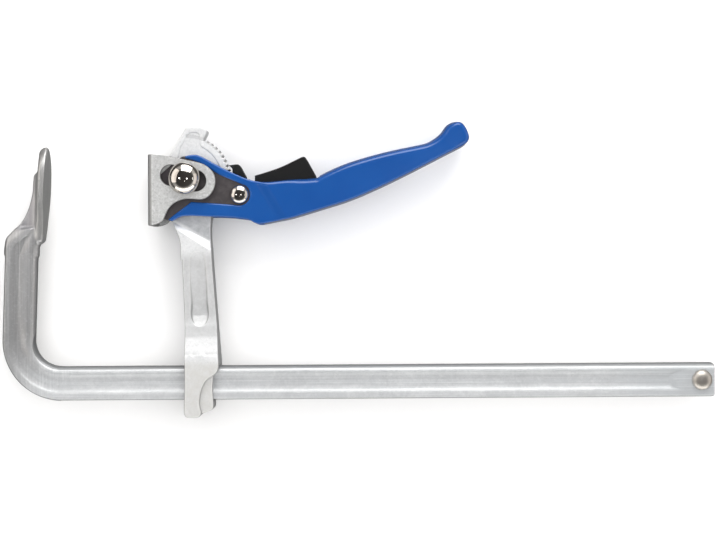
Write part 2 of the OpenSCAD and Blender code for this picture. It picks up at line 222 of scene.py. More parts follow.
def contour(f, xs, ys, zs):
    """Dual contouring: vertices, unit normals and quads of f = 0."""
    F = sample(f, xs, ys, zs)
    S = F < 0
    axes, shp = [xs, ys, zs], (len(xs) - 1, len(ys) - 1, len(zs) - 1)
    P, lin, flip = [], [], []
    for ax in range(3):
        a = [slice(None)] * 3
        b = [slice(None)] * 3
        a[ax], b[ax] = slice(None, -1), slice(1, None)
        i0 = np.argwhere(S[tuple(a)] != S[tuple(b)])
        i1 = i0.copy()
        i1[:, ax] += 1
        f0, f1 = F[tuple(i0.T)].astype(float), F[tuple(i1.T)].astype(float)
        p0 = np.stack([axes[k][i0[:, k]] for k in range(3)], 1)
        L = axes[ax][i1[:, ax]] - p0[:, ax]
        lo, hi, flo, fhi = np.zeros(len(L)), np.ones(len(L)), f0.copy(), f1.copy()
        for _ in range(3):
            t = np.clip(lo + (hi - lo) * flo / (flo - fhi), 0, 1)
            p = p0.copy()
            p[:, ax] += t * L
            ft = at(f, p)
            same = (ft < 0) == (flo < 0)
            lo, flo = np.where(same, t, lo), np.where(same, ft, flo)
            hi, fhi = np.where(same, hi, t), np.where(same, fhi, ft)
            fhi = np.where(np.abs(flo - fhi) < 1e-12, flo - 1e-12, fhi)
        P.append(p)
        bb, cc = (ax + 1) % 3, (ax + 2) % 3
        ring = []
        for ob, oc in ((-1, -1), (0, -1), (0, 0), (-1, 0)):
            c = i0.copy()
            c[:, bb] += ob
            c[:, cc] += oc
            ring.append((c[:, 0] * shp[1] + c[:, 1]) * shp[2] + c[:, 2])
        lin.append(np.stack(ring, 1))
        flip.append(f0 > 0)
    P, lin, flip = np.concatenate(P), np.concatenate(lin), np.concatenate(flip)
    N, _ = normals_of(f, P)
    cells, inv = np.unique(lin.ravel(), return_inverse=True)
    inv = inv.reshape(-1)
    n = len(cells)
    rep = np.repeat(np.arange(len(P)), 4)
    p4, n4 = P[rep], N[rep]
    cnt = np.bincount(inv, minlength=n).astype(float)
    mass = np.stack([np.bincount(inv, p4[:, k], n) for k in range(3)], 1) / cnt[:, None]
    d = np.einsum("ij,ij->i", n4, p4 - mass[inv])
    A = np.zeros((n, 3, 3))
    B = np.zeros((n, 3))
    for i in range(3):
        B[:, i] = np.bincount(inv, n4[:, i] * d, n)
        for j in range(i, 3):
            A[:, i, j] = A[:, j, i] = np.bincount(inv, n4[:, i] * n4[:, j], n)
    A += np.eye(3) * (0.06 * cnt[:, None, None])
    X = mass + np.linalg.solve(A, B[:, :, None])[:, :, 0]
    cx, r = np.divmod(cells, shp[1] * shp[2])
    cy, cz = np.divmod(r, shp[2])
    lo = np.stack([xs[cx], ys[cy], zs[cz]], 1)
    hi = np.stack([xs[cx + 1], ys[cy + 1], zs[cz + 1]], 1)
    X = np.clip(X, lo, hi)
    for _ in range(2):
        nn, _ = normals_of(f, X)
        X = X - nn * np.clip(at(f, X), -0.15, 0.15)[:, None]
    nn, _ = normals_of(f, X, 0.04)
    Q = inv.reshape(-1, 4)
    Q = np.where(flip[:, None], Q[:, ::-1], Q)
    return X, nn, Q


def make_mesh(name, co, faces, normals=None, attrs=()):
    """co in millimetres, faces an (n, 4) array or a list of tuples."""
    me = bpy.data.meshes.new(name)
    co = np.asarray(co, float) * M
    if isinstance(faces, np.ndarray):
        me.vertices.add(len(co))
        me.vertices.foreach_set("co", co.astype(np.float32).ravel())
        me.loops.add(faces.size)
        me.loops.foreach_set("vertex_index", faces.astype(np.int32).ravel())
        me.polygons.add(len(faces))
        me.polygons.foreach_set("loop_start", (np.arange(len(faces)) * faces.shape[1]).astype(np.int32))
        me.update(calc_edges=True)
    else:
        me.from_pydata([tuple(c) for c in co], [], faces)
        me.update()
    me.polygons.foreach_set("use_smooth", np.ones(len(me.polygons), bool))
    for k, v in attrs:
        me.attributes.new(k, "FLOAT", "POINT").data.foreach_set("value", np.asarray(v, np.float32))
    if normals is not None:
        me.normals_split_custom_set_from_vertices([tuple(v) for v in normals])
    ob = bpy.data.objects.new(name, me)
    bpy.context.scene.collection.objects.link(ob)
    return ob


def solid(name, f, xs, ys, zs, origin=(0, 0), side_shade_weight=None, hollow_dark_weight=None, shaded_teeth=None):
    """A piece from the field f, whose x and y are taken from origin. Stores how convex, how hollow and how steep each
    point is; the materials paint shade from the steepness, and dirt and shade from the hollowness.
    """
    X, N, Q = contour(f, xs, ys, zs)
    e = 0.7
    lap = -6 * at(f, X)
    for k in range(3):
        for s in (-e, e):
            Y = X.copy()
            Y[:, k] += s
            lap += at(f, Y)
    lap /= e * e
    side = 1 - np.abs(N[:, 2])
    # the steepness sets painted shade on steep faces; it is weighted by place, and raised to at least 0.35 on the
    # ratchet teeth to paint shade there
    if side_shade_weight:
        side = side * side_shade_weight(X[:, 0], X[:, 1])
    if shaded_teeth:
        side = np.where(shaded_teeth(X[:, 0], X[:, 1]), np.maximum(side, 0.35), side)
    hollow = np.clip(-lap, 0, 2.0) / 2.0
    # how hollow a point is sets dirt and painted shade; this weight lessens it in places, as on the ratchet teeth
    if hollow_dark_weight:
        hollow = hollow * hollow_dark_weight(X[:, 0], X[:, 1])
    X = X + np.array([origin[0], origin[1], 0.0])
    ob = make_mesh(name, X, Q, N, [("convex", np.clip(lap, 0, 2.5) / 2.5), ("hollow", hollow), ("side", side)])
    return ob


def lathe(name, prof, centre, seg=96):
    """A turned piece round a line along Z. prof goes from the axis at one end to the axis at the other, (r, z)."""
    co, faces = [], []
    rings = []
    for r, z in prof:
        if r < 1e-6:
            rings.append([len(co)])
            co.append((centre[0], centre[1], z))
        else:
            rings.append(list(range(len(co), len(co) + seg)))
            for k in range(seg):
                a = 2 * math.pi * k / seg
                co.append((centre[0] + r * math.cos(a), centre[1] + r * math.sin(a), z))
    for A, B in zip(rings[:-1], rings[1:]):
        for k in range(seg):
            j = (k + 1) % seg
            if len(A) == 1 and len(B) == 1:
                continue
            if len(A) == 1:
                faces.append((A[0], B[j], B[k]))
            elif len(B) == 1:
                faces.append((A[k], A[j], B[0]))
            else:
                faces.append((A[k], A[j], B[j], B[k]))
    return make_mesh(name, co, faces)


def fillet(pts, n=6):
    """Rounds the corners of an open profile. Points are (r, z, radius)."""
    out = []
    for i, p in enumerate(pts):
        rad = p[2] if len(p) > 2 else 0
        if rad <= 0 or i in (0, len(pts) - 1):
            out.append((p[0], p[1]))
            continue
        a, b, c = (np.array(q[:2], float) for q in (pts[i - 1], p, pts[i + 1]))
        u, v = a - b, c - b
        lu, lv = np.linalg.norm(u), np.linalg.norm(v)
        u, v = u / lu, v / lv
        half = math.acos(max(-1, min(1, float(u @ v)))) / 2
        t = min(rad / math.tan(half), lu * .49, lv * .49)
        rr = t * math.tan(half)
        m = b + (u + v) / np.linalg.norm(u + v) * (rr / math.sin(half))
        s, e = b + u * t - m, b + v * t - m
        a0, a1 = math.atan2(s[1], s[0]), math.atan2(e[1], e[0])
        da = (a1 - a0 + math.pi) % (2 * math.pi) - math.pi
        for k in range(n + 1):
            w = a0 + da * k / n
            out.append((m[0] + rr * math.cos(w), m[1] + rr * math.sin(w)))
    return out


# ---------------------------------------------------------------------------
# Dimensions, as in part.scad
# ---------------------------------------------------------------------------
BAR_Y = -135.2
BC = (9.8, -105.2)
BEND = 18.0
END = 465.0
RIVET = (456.1, BAR_Y)
PV = (98.1, 6.5)
QR = (37.4, -11.1)
QV = (PV[0] + QR[0], PV[1] + QR[1])
C3, S3 = math.cos(math.radians(3)), math.sin(math.radians(3))
C2, S2 = math.cos(math.radians(2)), math.sin(math.radians(2))
FLOOR_Z = -0.0219


# ---------------------------------------------------------------------------
# Bar, bend, fixed arm and fixed jaw
# ---------------------------------------------------------------------------
SPADE_W = [(-37.2, 3.6), (-36.2, 5.6), (-33.6, 6.7), (-30, 7.1), (-24, 8.3), (-16.5, 10.2), (-9, 12.2), (-2, 12.95), (5, 12.7), (11, 11.9), (16, 10.7),
           (20, 9.2), (23.5, 7.5), (26.4, 5.5), (28.6, 3.2), (29.6, 1.2)]
SPADE = Outline(spline(SPADE_W + [(v, -w) for v, w in SPADE_W[::-1]], (), 4))
RIB_BACK = [(-6.9, 10.4), (-8.6, 9.6), (-9.25, 5), (-9.4, -1.8), (-10.3, -7.3), (-12.3, -14.9), (-15.0, -20.9), (-18.6, -26.5),
            (-22.6, -31.2), (-25.6, -34.6), (-26.9, -37.6)]
RIB = Outline(spline([(-4, -46), (-3.2, 6)] + RIB_BACK + [(-27.2, -46)], (0, 1, 13), 4))
ARM_TOP = Outline(spline([(3, -70), (3, 6)] + RIB_BACK + [(-27.6, -41), (-29.5, -46), (-32, -56), (-32, -70)], (0, 1, 16), 4))


def wob(t, s):
    return np.sin(t * 1.7 + s) * 0.5 + np.sin(t * 3.9 + 2.1 * s) * 0.3 + np.sin(t * 7.3 + 0.7 * s) * 0.2


def along_bar(x, y):
    """Distance from the bar's middle line, grows to the inside, and the way round the bend: 0 in the bar, 1 and more in the fixed arm."""
    rx, ry = x - BC[0], y - BC[1]
    xa, ya = C2 * rx - S2 * ry, S2 * rx + C2 * ry
    mid = BEND + 12
    a = np.where(rx >= 0, ry + mid, np.where(ya >= 0, xa + mid, mid - hyp(rx, ry)))
    way = np.where(rx >= 0, 0.0, np.where(ya >= 0, 1.0 + ya / 30, np.clip(np.arctan2(-rx, -ry) / (math.pi / 2), 0, 1)))
    return rx, a, way


def f_bar(x, y, z):
    az = np.abs(z)
    rx, a, way = along_bar(x, y)
    s = np.minimum(way, 1)
    # jaw coordinates
    u, v = C3 * x - S3 * y, S3 * x + C3 * y
    # the ridge that turns from the outer flange to the back of the spade
    ridge = -0.643 * (u + 17.2) + 0.766 * (v + 33.2)   # 0 on its crest, grows towards the thin rib
    near_ridge = ramp(ridge, -13, -4.5)
    # grooved section with round flanges; the groove is narrower and shallower in the fixed arm
    lo, hi = 12 - 0.85 * s, 12 - 0.25 * s
    box = rmax(rmax(a - hi, az - 6, 5.8), rmax((-a - lo + 0.4 * s * np.maximum(az - 2.2, 0)) / (1 + 0.08 * s), az - 6, lerp(1.9, 0.9, s)), 0.1)
    q = ramp(way, 0.5, 1.7)
    aa = np.abs(a + 0.6 * q - 3.2 * near_ridge)
    top = lerp(6.7, 4.6, q) + 1.4 * near_ridge
    k = lerp(1.5, 3.0, ramp(way, 0.9, 1.8))
    floor = lerp(4.1, 5.0, q) - 0.4 * near_ridge
    g = rmax((aa - top + (6 - az) * k) / np.sqrt(1 + k * k), floor - az, 1.5)
    g = np.where(x > 425, np.maximum(g, (lerp(3.6, 6.4, ramp(x, 428, 446)) - az)), g)
    g = smax(g, (ridge + 3.6 - (6 - az) * 1.2) * 0.64, 1.6)
    d = rmax(box, -g, 0.7)
    # free end
    end = rmax(x - END, np.abs(y - BAR_Y) - 12, 2.5)
    d = np.where(rx >= 0, rmax(d, end, 0.6), d)
    d = np.where(x > 440, np.maximum(d, 4.05 - hyp(x - RIVET[0], y - RIVET[1])), d)
    # the arm stops at a bevel beyond the ridge and below the spade's end
    cap = smin((ridge - 0.8) * 0.6 + (az - 6) * 0.8, (ridge - 3.3) * 0.28 + (az - 4.2) * 0.96, 0.6)
    cap = rmax(cap, v + 27.0, 2.5)
    arm = np.where(v > -60, rmax(d, cap, 1.4), d)
    arm = np.where((v > -60) & (u < 8), rmax(arm, ARM_TOP(u, v), 1.3), arm)
    near = (v > -60) & (u < 8) & (v < 34) & (u > -34)
    if not np.any(near):
        return arm
    # thin rib on the back, thicker towards the spade
    thick = 2.7 + 2.2 * ramp(u, -15, -4) * ramp(v, -36, -20)
    rib = rmax(RIB(u, v), az - thick, 1.4)
    # spade: flat face, crowned back, sharp parting line
    te = 4.3 + 1.4 * ramp(-v, 18, 34)
    tc = lerp(5.5, 6.5, ramp(v, -14, 8))
    w = np.interp(v, [p[0] for p in SPADE_W], [max(p[1], 3.0) for p in SPADE_W])
    back = te + (np.maximum(tc, te) - te) * np.clip(1 - (z / w) ** 2, 0, 1)
    side = SPADE(v, z)
    flash = np.exp(-((u + 3.3) / 0.45) ** 2) * ramp(v, -16, -9) * ramp(-v, -11, -3) * (0.42 + 0.3 * wob(v * 1.3, 0.4))
    tip = ramp(v, 17, 29)
    heel = ramp(-v, 25, 35)
    spade = rmax(rmax(side - flash, (-u - back) * 0.97, 1.6 + 3.2 * tip + 1.6 * heel), u, 0.8 + 1.4 * tip + 1.6 * heel)
    body = smin(rib, spade, 4.0)
    out = smin(arm, body, 2.6)
    return np.where(near, out, arm)


def bar_side_shade_weight(x, y):
    # how strongly painted shade falls on the bar's steep faces: weak at the jaw, only on the bar's outer flanges, less
    # up the fixed arm
    a, way = along_bar(x, y)[1:]
    return np.where(y > -42, 0.155, ramp(np.abs(a), 8.7, 9.7) * lerp(1, 0.22, ramp(way, 0.6, 1.2)))


def build_bar():
    xs = steps((-34.5, -12, 0.5), (-12, 2.5, 0.42), (2.5, 12, 0.7), (12, 450, 6.5), (450, 466.5, 0.5))
    ys = steps((-149, -121, 0.42), (-121, -62, 0.75), (-62, 31.5, 0.45))
    zs = steps((-14.4, -6.6, 0.5), (-6.6, -2.4, 0.35), (-2.4, 2.4, 0.8), (2.4, 6.6, 0.35), (6.6, 14.4, 0.5))
    return solid("bar_forging", f_bar, xs, ys, zs, side_shade_weight=bar_side_shade_weight)


# ---------------------------------------------------------------------------
# Sliding arm, seen from the pivot
# ---------------------------------------------------------------------------
TIP, ROOT, PITCH = 30.8, 28.9, 41 / 6
FB = BAR_Y - PV[1]


def sector():
    p = [pol(12, -60)] + [pol(ROOT, -57 + 17 * i / 8) for i in range(9)]
    for i in range(15):
        a = 60.4 - PITCH * (14 - i)
        p += [pol(ROOT, a - 1.6), pol(TIP, a), pol(TIP, a + 0.5)]
    return p + [pol(ROOT, 64.5), pol(12, 70)]


SECTOR = Outline(sector())
HEAD = Outline(spline([(-11.6, 16.3), (-4.2, 28.8), (-0.9, 34.6), (-0.2, 35.8), (0.9, 36.3), (10.6, 36.4), (12.4, 36.0), (14.0, 34.7), (14.8, 33.2),
                       (12.5, 28.2), (12.2, 25.5), (13, 10), (14, -10), (20, -17.7), (17.6, -25.2), (16.8, -34.8), (17.7, -57), (-4.1, -57),
                       (-4.3, -45.1), (-6.7, -36.9), (-9.7, -29.8), (-10.2, -16.5), (-10.8, 3.5)], (0, 1, 9, 13, 14, 16, 17), 4))
SHANK = Outline(spline([(-3.9, -47.6), (17.4, -47.6), (17.7, -55.3), (19.1, -75.9), (21, -101.5), (22.2, FB + 17), (22.4, FB + 13), (22.4, FB + 6), (-1.35, FB + 6),
                        (-1.4, FB + 22), (-1.5, -101), (-2.8, -65.4), (-3.6, -50.1)], (0, 1, 7, 8), 3))
CHEEKS = Outline(spline([(-1.35, 20), (-1.35, 14), (-1.3, 5), (-1.3, -5), (-1.9, -18.6), (-1.7, -21.3), (-0.4, -23.2), (2.0, -23.65), (6.2, -23.7), (8.6, -23.2), (9.8, -21.8), (10.2, -19.8), (9.3, -16.2),
                         (8.95, -13), (9.2, -10.5), (9.9, -6.5), (11.2, -2.5), (13, 1), (16, 3.9), (19, 5.9), (21.2, 8), (22.2, 10.8), (22.4, 14), (22.4, 20)], (0, 23), 4))
WALL = Outline(spline([(0, 20), (0, 5), (0, -19), (0.4, -21.6), (2, -22.9), (6, -23), (8.6, -22.2), (11.7, -20.6), (16.0, -19.1), (17.7, -18.2), (18.3, -16.6),
                       (18.2, -11.7), (17.7, -4.7), (18, 2), (18.8, 9), (18.8, 20)], (0, 15), 4))
REC_S = Outline(spline([(3.3, -56.5), (3.9, -54.0), (5.4, -52.2), (7.6, -51.5), (9.8, -52.2), (11.3, -54.0), (11.9, -56.5), (14.0, -90), (14.0, -94.5), (13.2, -98.0), (11.6, -100.2),
                        (9.2, -101.0), (6.9, -100.2), (5.0, -98.0), (4.0, -94.5), (3.9, -90)], (), 4))
REC_H = Outline(chaikin([(-4.3, 21.5), (-2.1, 25.3), (1.4, 31.8), (4.2, 32.7), (8.3, 32.5), (10, 29.6), (10, 23.1)] + [pol(25, 60 - 7 * i) for i in range(15)] +
                        [(8, -24), (-6, -22), (-7, 8)], 1))


def f_arm(x, y, z):
    az = np.abs(z)
    yb = y - FB
    # thickness along the arm: head, scooped neck, shank, flare over the bar
    bevel = (y + 41.6) * 0.865 + (x - 6.0) * 0.502          # across the bevel, from the head (+) to the shank (-)
    along = np.clip(((x - 6.0) * 0.865 - (y + 41.6) * 0.502 + 13) / 24, 0, 1)
    neck = 5.35 + 1.5 * ramp(bevel, 5.5, 20)
    lo, hi = lerp(-0.6, -1.7, along), lerp(2.8, 3.8, along)
    half = lerp(7.6, neck, np.clip((bevel - lo) / (hi - lo), 0, 1))
    f = np.clip((38 - yb) / 19.0, 0, 1)
    half = half + 5.4 * (f ** 1.35) - 0.5 * np.exp(-((yb - 19.6) / 1.5) ** 2) * np.clip(0.5 + 0.9 * wob(x * 0.2, 1.3), 0, 1.2)
    t = (az - half) * 0.94
    out = np.minimum(np.where(y > -56, HEAD(x, y), 1e3), np.where(y < -45, SHANK(x, y), 1e3))
    d = rmax(out, t, 1.1)
    sec = rmax(SECTOR(x, y), az - 6.6, 0.3)
    d = rmin(d, sec, 0.8)
    # recesses with sloping walls; the lower end of the long one runs out in a ramp
    deep = 0.9 + 0.5 * ramp(-y, 54, 62) + 1.7 * ramp(-y, 66, 94) - 2.9 * np.clip((-y - 94.9) / 7.4, 0, 1)
    wk = lerp(0.75, 0.3, ramp(-y, 84, 95))
    rs = rmax((REC_S(x, y) - 1.3 + (half - az) * wk) / np.sqrt(1 + wk * wk), (half - deep) - az, 0.5)
    d = np.where((y < -45) & (y > -110), rmax(d, -rs, 0.7), d)
    rh = rmax(np.maximum(REC_H(x, y), 12 - hyp(x, y)), 6.1 - az, 0.5)
    d = np.where(y > -30, rmax(d, -rh, 0.4), d)
    # thick cheeks, thinner wall and slot
    low = yb < 24
    if np.any(low):
        ch = rmax(rmax(CHEEKS(x, yb), az - 13, 1.6), yb - 17.6 - 1.1 * wob(x * 0.16, 1.9), 2.3)
        wl = rmax(WALL(x, yb), az - 9.7, 1.1)
        foot = rmin(ch, wl, 0.7)
        foot = np.where(yb < 18, foot, 1e3)
        top = np.where(yb > 12.6, d, 1e3)
        foot = np.minimum(foot, top)
        slot = rmax(np.abs(yb) - 12.4, az - 6.4, 1.0)
        foot = rmax(foot, -slot, 0.5)
        d = np.where(low, foot, d)
    d = np.where(y > -30, np.maximum(d, 7.02 - hyp(x, y)), d)
    return d


def build_arm():
    xs = steps((-14, 32.4, 0.42))
    ys = steps((-167, -117, 0.5), (-117, -58, 0.8), (-58, -32, 0.5), (-32, 38, 0.38))
    zs = steps((-14.2, -8.6, 0.6), (-8.6, -4.9, 0.4), (-4.9, 4.9, 0.98), (4.9, 8.6, 0.4), (8.6, 14.2, 0.6))
    return solid("arm_forging", f_arm, xs, ys, zs, PV, side_shade_weight=lambda x, y: np.where(y > 8, 0.25, 1.0), shaded_teeth=lambda x, y: (y > 0) & (x > 0) & (hyp(x, y) > 28.6) & (hyp(x, y) < 31.5),
                 hollow_dark_weight=lambda x, y: np.where((y > 0) & (hyp(x, y) > 27), 0.1, 1.0))


# ---------------------------------------------------------------------------
# Pressure plate
# ---------------------------------------------------------------------------
PLATE = Outline(chaikin([(-27, 16), (-26.5, 16.8), (-22.6, 16.8), (-9.4, 15.1), (1.1, 12.6), (6.4, 11.6), (12.2, 10.2), (16.6, 7.6), (20, 4), (21.4, -0.6),
                         (21.2, -5), (19, -10), (15.7, -13.4), (11.4, -14.8), (6.2, -14.3), (0.9, -14), (-3.3, -15), (-7.5, -17), (-10.9, -20.4), (-13, -24.4),
                         (-14.6, -28.6), (-16.6, -30.6), (-21.9, -32.3), (-26.5, -32.3), (-27, -31)], 2))
CS, SS = math.cos(math.radians(13)), math.sin(math.radians(13))


def f_plate(x, y, z):
    az = np.abs(z)
    # U seen along Y, outer and inner walls
    outer = rmax(-25.7 - x, az - 16, 4.6)
    inner = rmax(-22.7 - x, az - 13, 2.0)
    u = np.maximum(outer, -inner)
    xr, yr = CS * x - SS * y, SS * x + CS * y
    slot = hyp(np.maximum(np.abs(xr + 0.875) - 8.775, 0), yr) - 7.22
    prof = rmax(PLATE(x, y), -slot, 0.1)
    prof = np.maximum(prof, -slot)
    return rmax(u, prof, 0.45)


def build_plate():
    xs = steps((-27.2, 23, 0.36))
    ys = steps((-34, 18.2, 0.36))
    zs = steps((-17, -11.9, 0.3), (-11.9, 11.9, 1.4), (11.9, 17, 0.3))
    return solid("plate_sheet", f_plate, xs, ys, zs, PV)


# ---------------------------------------------------------------------------
# Lever: steel cheeks and blue moulding
# ---------------------------------------------------------------------------
def cam(deg):
    a = math.radians(deg)
    h = 22.45 + 10.33 * (a - math.pi)
    return (h * math.cos(a) - 10.33 * math.sin(a), h * math.sin(a) + 10.33 * math.cos(a))


CHEEK_PTS = [cam(a) for a in range(138, 219, 4)] + [
    (-15.3, -27.3), (-13.5, -28.3), (-11.6, -28.7), (-10.2, -28), (-8.2, -26.4), (-3, -24), (2.3, -23.2), (14.6, -23.5),
    (28.7, -24), (38.4, -25), (44, -26.2), (50, -28), (56, -28.4), (72, -25.2), (88, -20.6),
    (100, -16.4), (103.4, -13.4), (103.8, -10), (102, -7.6), (98, -7), (72, -7.6), (58, -7),
    (50, -4.6), (43, -3.2), (32.5, 1.3), (23.7, 5.7), (14.9, 10.6), (8, 13.6), (3.2, 14.8),
    (-0.6, 15.6), (-2.2, 15.3), (-6, 12.8), (-10.5, 9)]
CHEEK = Outline(CHEEK_PTS)


def build_cheek(name, lo, hi):
    def f(x, y, z):
        d = rmax(CHEEK(x, y), np.maximum(lo - z, z - hi), 0.35)
        d = np.maximum(d, 7.05 - hyp(x, y))
        d = np.maximum(d, 3.03 - hyp(x - QR[0], y - QR[1]))
        for p in ((66, -22), (97.6, -11.6)):
            d = np.maximum(d, 3.03 - hyp(x - p[0], y - p[1]))
        return d
    xs = steps((-25, 52, 0.45), (52, 105.4, 0.8))
    ys = steps((-30, 17, 0.45))
    zs = steps((lo - 0.8, hi + 0.8, 0.33))
    return solid(name, f, xs, ys, zs, PV)


GRIP_PTS = [(0, 15.6), (3, 16.3), (7.5, 16.6), (11, 15.5), (14.9, 13.4), (23.7, 8.5),
            (32.5, 4.1), (43, -0.4), (46.5, -1.4), (55.4, -2.2), (64, -1.6), (72.5, -0.7),
            (90.5, 0.8), (97.7, 4.6), (110.3, 10), (122.9, 14), (135.5, 17.4), (148, 20.2),
            (160.6, 22.7), (167.4, 24.3), (173.3, 27.6), (177.5, 31.3), (180.9, 35.9),
            (184.3, 38.2), (187.6, 38.8), (191, 38), (193.9, 35), (195.9, 30.8), (196.7, 27.8),
            (195.9, 24.9), (193.8, 22.9), (181.6, 16.6), (164.8, 8), (147.9, -0.4),
            (131.1, -8.2), (114.3, -15.2), (97.6, -20.5), (80.7, -25.5), (72.3, -27.8),
            (63.1, -29.6), (54.3, -31.3), (50.7, -31.6), (48.1, -30.9), (43.7, -28.6),
            (38.4, -27.7), (28.7, -26.7), (14.6, -26.2), (2.3, -25.7), (-3.1, -26.2),
            (-6.6, -27.9), (-9.3, -29.2), (-11.9, -28.4),
            (-10.6, -27), (-4, -22), (4, -16), (18, -17), (32.3, -18.1), (38, -18.6), (41.4, -17.4),
            (43.8, -14.8), (44.6, -11.1), (43.8, -7.5), (41.6, -5.2), (39.2, -4.2), (34.2, -2), (23.6, 2.6), (18.3, 6), (7.8, 11.7), (0.2, 14)]
GRIP = Outline(spline(GRIP_PTS, [GRIP_PTS.index(p) for p in ((0, 15.6), (0.2, 14), (-11.9, -28.4), (-10.6, -27), (4, -16), (46.5, -1.4))], 4))
SOLID_GRIP = Outline(spline(GRIP_PTS[:50] + [(-12, -5)], (0, 8, 12, 49, 50), 4))
CHEEK_SEAT = CHEEK


def f_grip(x, y, z):
    az = np.abs(z)
    out = GRIP(x, y)
    # thin fork over the steel cheeks, full grip beyond the crease
    crease = ((x - 46) * 40 + (y - 4) * 24) / 46.65     # along +X past the line from (46, 4) to (70, -36)
    half = 12.2 + 1.8 * ramp(crease, -2.5, 6.0)
    d_f = rmax(out, (az - half) * 0.97, 1.3)
    # small radius below, a slanting strip along the finger side above
    g = SOLID_GRIP(x, y)
    full = rmax(g, (az - half) * 0.97, 1.5 + 2.2 * ramp(x, 183, 192))
    upper = ramp(y - np.interp(x, [46, 97, 131, 165, 186], [-16.5, -8, 3.5, 16, 27]), -2.5, 2.5) * (1 - ramp(x, 184, 194))
    slant = (g + lerp(1.3, 2.9, ramp(x, 66, 86))) * 0.93 + (az - half) * 0.37 - 3.0 * (1 - upper)
    full = rmax(full, slant, 1.7)
    k = ramp(crease, -4, 6)
    d = lerp(d_f, np.maximum(full, out - 0.0) * 1.0, k)
    # space between the cheeks, and the cheeks' seats
    pocket = rmax(POCKET(x, y), az - 8, 0.4)
    seat = rmax(CHEEK_SEAT(x, y), np.abs(az - 9.5) - 1.5, 0.05)
    d = np.maximum(d, -pocket)
    d = np.maximum(d, -seat)
    return d


POCKET = Outline([(-40, -60), (53.9, -60), (53.9, -31), (52.6, -19), (49, -16), (92.9, -11), (92.9, 60), (-40, 60)])


def build_grip():
    xs = steps((-14, 60, 0.45), (60, 198.5, 0.6))
    ys = steps((-34, 41, 0.5))
    zs = steps((-14.8, -7.4, 0.42), (-7.4, 7.4, 0.95), (7.4, 14.8, 0.42))
    return solid("grip_moulding", f_grip, xs, ys, zs, PV)


# ---------------------------------------------------------------------------
# Pawl and trigger
# ---------------------------------------------------------------------------
TRIGGER = Outline(spline([(47.8, 2.2), (53.7, 3.9), (65.7, 7.9), (75.9, 12.7), (81, 15), (82.3, 15.1), (83.2, 14.4), (90.3, 2), (90.8, 0.4), (90.6, -1.8), (78, -5.6), (62, -8.6),
                          (50.5, -11), (47.8, -10)], (0, 7, 8, 9, 12, 13), 4))
TAIL = Outline([(38, -5.5), (44, -4.6), (52, -3), (60, -1.4), (72, 2.2), (80, 5.6), (82, 5), (81.6, 2.6), (72, -2.6), (60, -5.8), (52, -7.6), (45, -10), (40, -13)])


def build_trigger():
    def f(x, y, z):
        az = np.abs(z)
        d = rmax(TRIGGER(x, y), az - 7, 0.7)
        tail = rmax(TAIL(x, y), np.maximum(-2.5 - z, z - 1.8), 0.05)
        d = np.maximum(d, -tail)
        return np.maximum(d, 1.5 - hyp(x - 60, y + 3.6))
    return solid("trigger_moulding", f, steps((46.5, 92, 0.42)), steps((-12.2, 16.4, 0.42)), steps((-8, 8, 0.42)), PV)


def pawl_pts():
    up = lambda p: rot(p, -4.75, QR)
    return ([up(pol(29.25, 17.4)), (33.6, 10), (34.6, 10.1), (36.2, 10.1), (37.2, 9.5), (38, 8.2), (41.5, 1.6), (41, -4), (40.6, -9), (30, -11.1)] +
            [up(pol(31.35, a)) for a in range(-12, 13, 3)] + [up(pol(31.15, 13))])


PAWL = Outline(pawl_pts())


def build_pawl():
    def f(x, y, z):
        az = np.abs(z)
        q = hyp(x - QR[0], y - QR[1])
        nose = rmax(PAWL(x, y), az - 6.6, 0.45)
        nose = np.maximum(nose, -np.maximum(q - 7.3, 1.8 - z))
        hub = rmax(q - 7, np.maximum(-7.7 - z, z - 1.8), 0.35)
        tail = rmax(TAIL(x, y), np.maximum(-2.5 - z, z - 1.8), 0.3)
        d = rmin(rmin(nose, hub, 0.3), tail, 0.5)
        return np.maximum(np.maximum(d, 4.55 - q), 1.5 - hyp(x - 60, y + 3.6))
    return solid("pawl_forging", f, steps((26.5, 83, 0.42)), steps((-19.5, 11.5, 0.42)), steps((-8.7, 7.6, 0.42)), PV)


